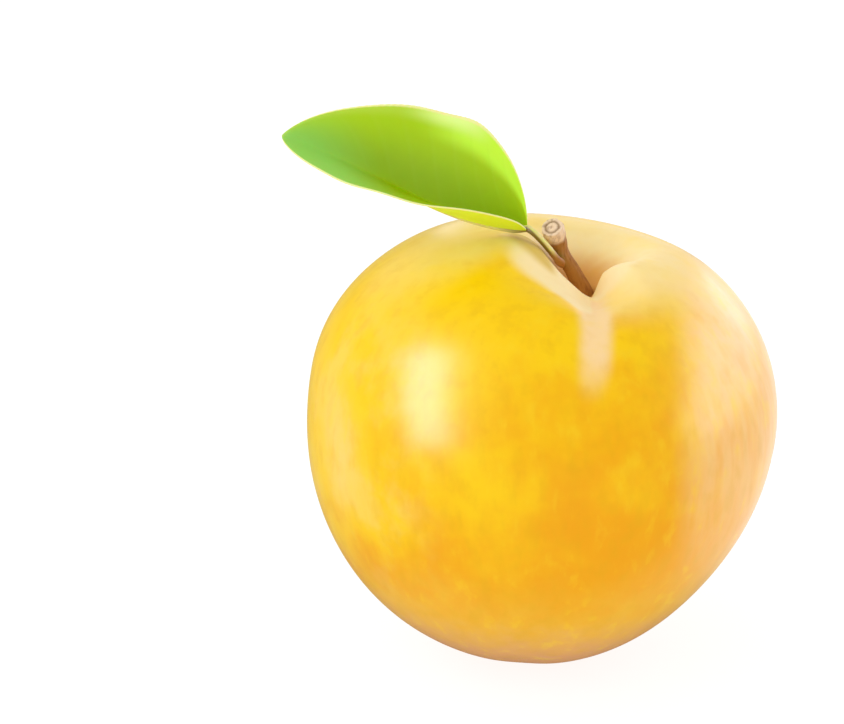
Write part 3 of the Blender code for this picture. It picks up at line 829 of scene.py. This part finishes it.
def leafMaterial():
    # deep green inside the fold, lighter towards the far margin with a painted highlight along it, a
    # painted sheen towards the tip, yellow-green on the underside
    material, tree, shader = newMaterial(
        "leafGreen", Roughness=0.45, Subsurface_Weight=0.3, Subsurface_Scale=0.0006,
        Specular_IOR_Level=0.06)
    g = green
    mottle = noise(tree, placeOf(tree), g["mottle"])
    share, offset = mask(tree, "share"), mask(tree, "offset")
    light = remap(tree, plus(tree, offset, times(tree, mottle, g["mottleShare"])), *g["lightRange"])
    colour = blendColour(tree, light, g["deep"], g["light"])
    # painted sheen, bluish, towards the tip and the near margin
    tipSheen = remap(tree, plus(tree, share, times(tree, offset, g["coolLean"])), *g["coolRange"])
    colour = blendColour(tree, tipSheen, colour, g["tipSheen"])
    # painted highlight along the far margin near the base
    farHighlight = times(tree, remap(tree, offset, *g["farAcross"]), remap(tree, share, *g["farAlong"]))
    colour = blendColour(tree, farHighlight, colour, g["far"])
    # a paler painted highlight closer to the far margin, along its middle
    farthestHighlight = remap(tree, offset, *g["farthestAcross"])
    farthestHighlight = times(tree, farthestHighlight, remap(tree, share, *g["farthestStart"]))
    farthestHighlight = times(tree, farthestHighlight, remap(tree, share, *g["farthestEnd"]))
    colour = blendColour(tree, farthestHighlight, colour, g["farthestHighlight"])
    veiny = times(tree, mask(tree, "vein"), g["veinShown"])
    colour = blendColour(tree, veiny, colour, g["vein"])
    deeper = remap(tree, mottle, *g["deeperMottle"])
    deeper = times(tree, deeper, remap(tree, share, *g["deeperAlong"]))
    under = blendColour(tree, deeper, g["under"], g["underDeep"])
    veinBelow = times(tree, mask(tree, "vein"), remap(tree, share, *g["veinBelow"]))
    under = blendColour(tree, veinBelow, under, g["underVein"])
    colour = blendColour(tree, mask(tree, "upper"), under, colour)
    edge = addNode(tree, "Math", {0: offset}, operation="ABSOLUTE").outputs[0]
    colour = blendColour(tree, remap(tree, edge, *g["rimRange"]), colour, g["rim"])
    tree.links.new(colour, shader.inputs["Base Color"])
    bump = addNode(tree, "Bump", {"Height": mottle, "Strength": g["bump"], "Distance": g["bumpDepth"]})
    tree.links.new(bump.outputs["Normal"], shader.inputs["Normal"])
    return material


stalk = {
    "foot": (0.0018, -0.0018, 0.04592), "bow": (-0.0002, -0.0012, 0.0002),
    "root": (0.0026, -0.0004, 0.0448),  # inside the stem
    "entry": 0.0011, "radius": 0.00038, "ribTip": 0.00022, "ribReach": 0.90, "ribDrop": 0.8,
    "rows": 170, "columns": 40, "freeKnots": 9, "ribKnots": 22,
    "rootSplay": (1.5, 1.3), "rootWay": 0.6, "rootDip": 0.00012,
    "grooveDepth": 0.10, "grooveWidth": 0.5,
    "shadedFrom": (-0.75, -0.60, -0.28), "shadedRange": (0.15, 0.65), "shadedEnd": (0.42, 0.30),
    "lowRange": (0.12, 0.065),
}


def makeStalk():
    # a quadratic curve from the stem to the blade, then the midrib along the blade's underside
    k = stalk
    foot, base = np.array(k["foot"]), np.array(leaf["base"])
    along = np.array(leaf["handles"][0]) - base
    along /= np.linalg.norm(along)
    elbow = base - along * k["entry"] + np.array(k["bow"])
    t = np.linspace(0, 1, k["freeKnots"])[:, None]
    free = (1 - t) ** 2 * foot + 2 * (1 - t) * t * elbow + t**2 * base
    root = np.array(k["root"])
    starts = [root, root + (foot - root) * k["rootWay"] - np.array([0, 0, k["rootDip"]])]
    ribShares = np.linspace(0, k["ribReach"], k["ribKnots"])[1:]
    places, _, ups = leafFrame(ribShares)
    taper = np.linspace(k["radius"], k["ribTip"], len(ribShares))
    rib = places - ups * (taper * k["ribDrop"])[:, None]
    knots = np.concatenate([starts, free, rib])
    splayed = k["radius"] * np.array(k["rootSplay"])
    widths = np.concatenate([splayed, np.full(k["freeKnots"], k["radius"]), taper])
    shares = np.linspace(0, 1, k["rows"])
    line = curveThrough(knots, shares)
    radius = curveThrough(np.repeat(widths[:, None], 3, axis=1), shares)[:, :1]
    along, side, out = pathFrame(line, (0.0, 0.3, 1.0))
    angle = np.linspace(0, 2 * math.pi, k["columns"], endpoint=False)[None, :]
    fromTop = (angle - math.pi / 2 + math.pi) % (2 * math.pi) - math.pi
    groove = 1 - k["grooveDepth"] * bell(fromTop, 0, k["grooveWidth"])
    reach = (radius * groove)[..., None]
    ring = side[:, None] * np.cos(angle)[..., None] + out[:, None] * np.sin(angle)[..., None]
    points = (line[:, None] + ring * reach)[:, ::-1]
    # painted shade on the side that faces left, to the front and down
    shaded = smooth(*k["shadedRange"], ring @ np.array(k["shadedFrom"]))[:, ::-1]
    low = np.repeat(smooth(*k["lowRange"], shares)[:, None], k["columns"], axis=1)
    masks = {"shaded": shaded * smooth(*k["shadedEnd"], shares[:, None]), "low": low}
    piece = gridPiece("leafStalk", points, masks, line[0], line[-1])
    piece.data.materials.append(stalkMaterial())
    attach(piece, "root")
    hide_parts("plum_leaf")


def stalkMaterial():
    # pale green, with painted shade in olive on its shaded side, and brown at its foot
    material, tree, shader = newMaterial("stalkGreen", Roughness=0.5, Subsurface_Weight=0.2,
                                         Subsurface_Scale=0.0005)
    fibres = remap(tree, noise(tree, placeOf(tree), green["fibres"]), *green["fibreRange"])
    colour = blendColour(tree, fibres, green["stalk"], green["under"])
    colour = blendColour(tree, mask(tree, "shaded"), colour, green["olive"])
    colour = blendColour(tree, mask(tree, "low"), colour, bark["shaft"])
    tree.links.new(colour, shader.inputs["Base Color"])
    return material


placeCamera()
placeLights()
placeRoom()
makeFloor()
print("camera, floor and light are placed")
makeFruit()
makeStem()
makeBlade()
makeStalk()
print("fruit, stem and leaf are made")
